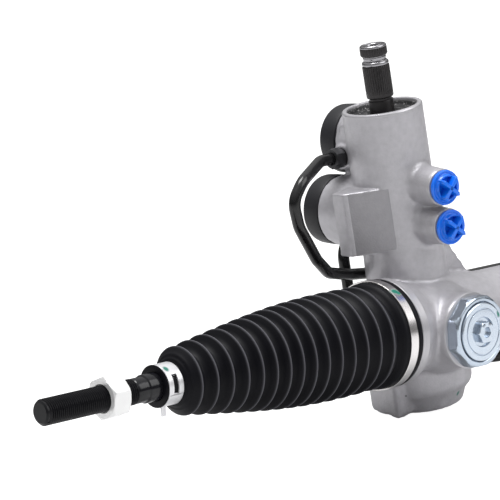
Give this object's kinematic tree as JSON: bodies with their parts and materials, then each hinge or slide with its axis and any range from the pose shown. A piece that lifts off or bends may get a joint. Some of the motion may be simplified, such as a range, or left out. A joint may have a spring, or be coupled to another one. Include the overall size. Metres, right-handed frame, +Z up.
{
  "type": "power steering gear",
  "caption": "Hydraulic rack and pinion steering gear with a leaning valve tower, cylinder tube, bellows boots, tie rods, rubber mounts and fluid pipes.",
  "frame": {"origin": "middle of the mouth of the threaded hole in the core of the lower mounting bush", "axes": "+X along the rack towards the far end, +Y out of the mounting holes towards the vehicle frame, +Z up; the adjusting plug and the fluid ports face -Y and the pinion leans towards -X"},
  "size_m": [1.1794, 0.121, 0.2468],
  "materials": {
    "cast_aluminium": "as cast, matt",
    "steel_tube": "drawn, plain",
    "bush_rubber": "moulded, dark",
    "boot_rubber": "moulded, satin",
    "seal_rubber": "moulded, matt",
    "zinc_steel": "zinc plated",
    "bright_steel": "ground",
    "dark_steel": "phosphated, dark",
    "guide_alloy": "machined",
    "ptfe": "filled PTFE",
    "seat_plastic": "acetal",
    "black_rod": "black, glossy",
    "clamp_steel": "stainless band",
    "cap_plastic": "moulded, bright blue",
    "pipe_paint": "black coating"
  },
  "bodies": {
    "housing": {"gear_housing": "cast_aluminium", "cylinder_tube": "steel_tube", "end_housing": "cast_aluminium", "far_mount_bracket": "cast_aluminium", "mount_bushes": "bush_rubber", "mount_cores": "zinc_steel", "rack_guide": "guide_alloy", "guide_spring": "dark_steel", "bottom_cap": "zinc_steel", "bearing_outer_rings": "bright_steel", "bearing_balls": "bright_steel", "pinion_seal": "seal_rubber", "input_bearing": "bright_steel", "shaft_seal": "seal_rubber", "snap_ring": "dark_steel", "dust_cover": "seal_rubber", "rack_bushes": "seat_plastic", "cylinder_seals": "seal_rubber", "large_boot_clamps": "clamp_steel", "left_boot": "boot_rubber", "right_boot": "boot_rubber", "near_pipe": "pipe_paint", "far_pipe": "pipe_paint", "pipe_nuts": "pipe_paint", "pipe_clip": "pipe_paint"},
    "rack": {"rack_bar": "bright_steel", "piston": "bright_steel", "piston_ring": "ptfe", "lock_washers": "bright_steel", "ball_sockets": "dark_steel", "ball_seats": "seat_plastic"},
    "pinion_shaft": {"pinion": "bright_steel", "pinion_nut": "zinc_steel", "bearing_inner_rings": "bright_steel", "valve_sleeve": "bright_steel", "valve_rings": "ptfe"},
    "input": {"input_shaft": "dark_steel", "torsion_bar": "bright_steel", "torsion_pin": "bright_steel"},
    "left_rod": {"left_tie_rod": "black_rod", "left_small_clamp": "clamp_steel"},
    "right_rod": {"right_tie_rod": "black_rod", "right_small_clamp": "clamp_steel"},
    "left_nut": {"left_jam_nut": "zinc_steel"},
    "right_nut": {"right_jam_nut": "zinc_steel"},
    "plug": {"adjusting_plug": "zinc_steel"},
    "lock_nut": {"adjusting_lock_nut": "zinc_steel"},
    "upper_cap": {"upper_port_plug": "cap_plastic"},
    "lower_cap": {"lower_port_plug": "cap_plastic"}
  },
  "joints": [
    {"name": "rack_slide", "type": "slide", "parent": "housing", "child": "rack", "axis": [1, 0, 0], "range_m": [-0.073, 0.073], "deforming": ["left_boot", "right_boot"]},
    {"name": "pinion_spin", "type": "hinge", "parent": "housing", "child": "pinion_shaft", "pos_m": [0.0245, -0.054, -0.0745], "axis": [-0.1409, 0, 0.99], "range_deg": [-531.5, 531.5]},
    {"name": "torsion_twist", "type": "hinge", "parent": "pinion_shaft", "child": "input", "pos_m": [0.0245, -0.054, -0.0745], "axis": [-0.1409, 0, 0.99], "range_deg": [-4, 4], "stiffness_Nm_per_rad": 40},
    {"name": "left_tie_rod_swing", "type": "hinge", "parent": "rack", "child": "left_rod", "pos_m": [-0.1155, -0.071, -0.0745], "axis": [0, 1, 0], "range_deg": [-15, 15]},
    {"name": "right_tie_rod_swing", "type": "hinge", "parent": "rack", "child": "right_rod", "pos_m": [0.6825, -0.071, -0.0745], "axis": [0, 1, 0], "range_deg": [-15, 15]},
    {"name": "left_jam_nut_turn", "type": "hinge", "parent": "left_rod", "child": "left_nut", "pos_m": [-0.2532, -0.071, -0.0745], "axis": [-1, 0, 0], "continuous": true},
    {"name": "right_jam_nut_turn", "type": "hinge", "parent": "right_rod", "child": "right_nut", "pos_m": [0.8202, -0.071, -0.0745], "axis": [1, 0, 0], "continuous": true},
    {"name": "plug_turn", "type": "hinge", "parent": "housing", "child": "plug", "pos_m": [0.0225, -0.107, -0.0765], "axis": [0, -1, 0], "range_deg": [0, 180]},
    {"name": "lock_nut_turn", "type": "hinge", "parent": "plug", "child": "lock_nut", "pos_m": [0.0225, -0.107, -0.0765], "axis": [0, -1, 0], "continuous": true},
    {"name": "upper_cap_pull", "type": "slide", "parent": "housing", "child": "upper_cap", "axis": [-0.1207, -0.9925, -0.0172], "range_m": [0, 0.012]},
    {"name": "lower_cap_pull", "type": "slide", "parent": "housing", "child": "lower_cap", "axis": [-0.1207, -0.9925, -0.0172], "range_m": [0, 0.012]}
  ],
  "couplings": [
    {"joint": "pinion_spin", "follows": "rack_slide", "rad_per_m": 126.93}
  ]
}
